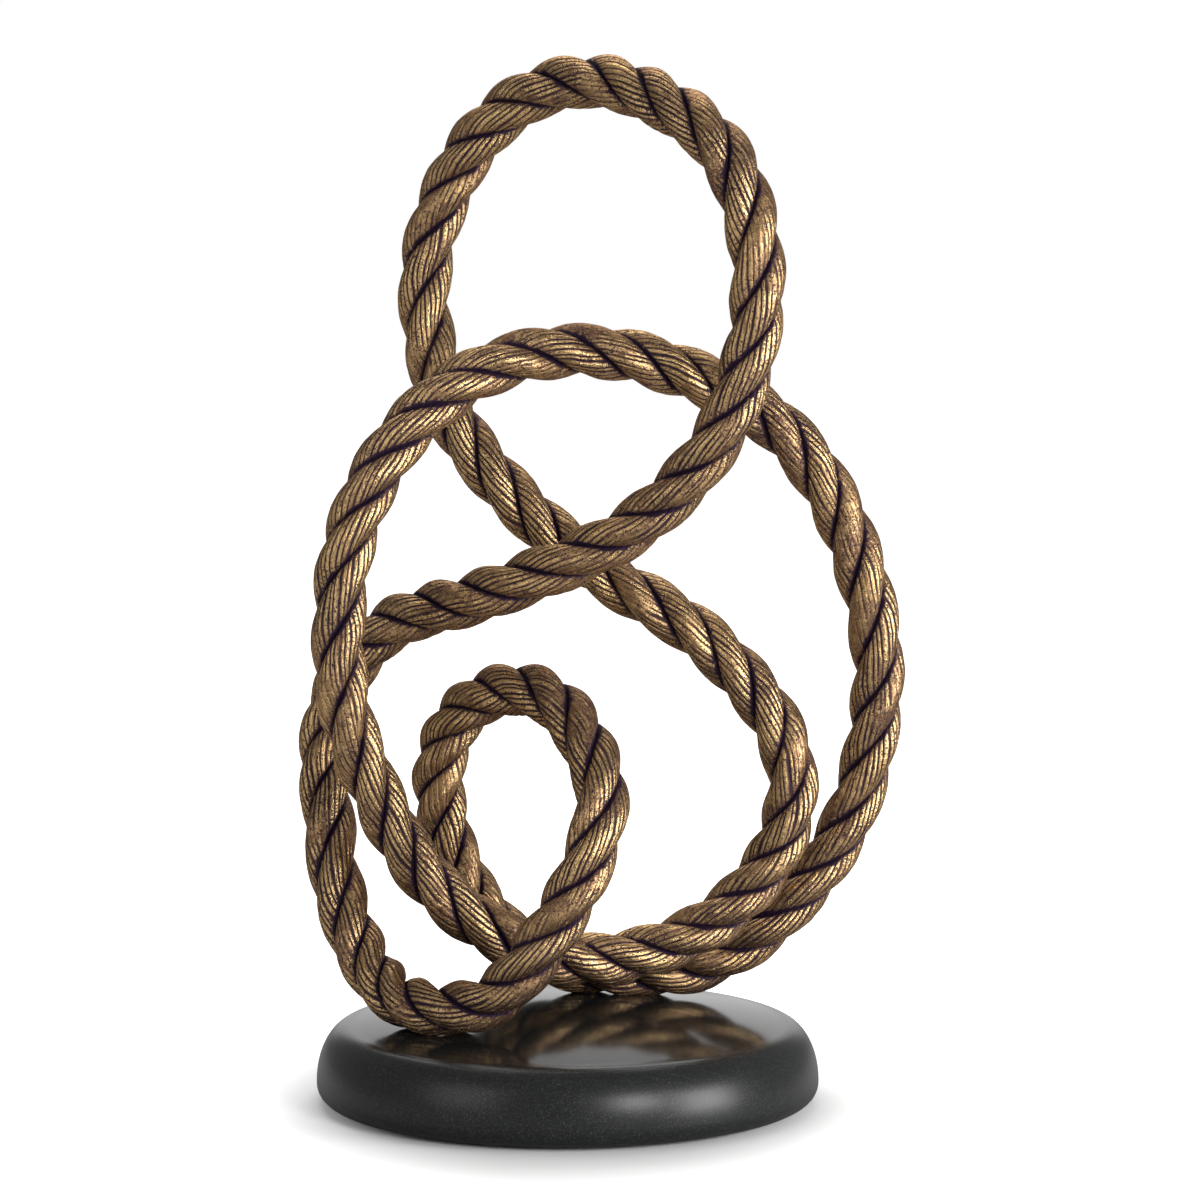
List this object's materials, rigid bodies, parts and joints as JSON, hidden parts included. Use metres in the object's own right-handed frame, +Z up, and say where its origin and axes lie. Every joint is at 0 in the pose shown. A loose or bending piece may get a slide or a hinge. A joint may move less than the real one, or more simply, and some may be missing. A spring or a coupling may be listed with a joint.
{
  "type": "knot sculpture",
  "caption": "Endless cast metal rope bent into open loops, standing on a round polished black stone disc as a table sculpture.",
  "frame": {"origin": "centre of the felt pad's underside, on the face that rests on a table", "axes": "+Z up through the disc's axis, +X to the right and +Y away from the viewer in the pictured view"},
  "size_m": [0.2818, 0.23, 0.4771],
  "materials": {
    "rope_metal": "antique brass patina, rubbed bright on the high spots, near black in the grooves",
    "stone": "black granite, polished top, honed side",
    "steel": "zinc plated",
    "felt": "black wool felt"
  },
  "bodies": {
    "root": {"top_loop_right": "rope_metal", "long_arm": "rope_metal", "left_shoulder": "rope_metal", "front_foot_bend": "rope_metal", "small_loop_front": "rope_metal", "small_loop_back": "rope_metal", "rear_foot_bend": "rope_metal", "outer_loop_right": "rope_metal", "outer_loop_top": "rope_metal", "outer_loop_left": "rope_metal", "inner_loop_base": "rope_metal", "inner_arm": "rope_metal", "top_loop_left": "rope_metal", "joint_pins": "steel", "stone_base": "stone", "felt_pad": "felt", "foot_bolts": "steel", "foot_washers": "steel"}
  },
  "joints": []
}
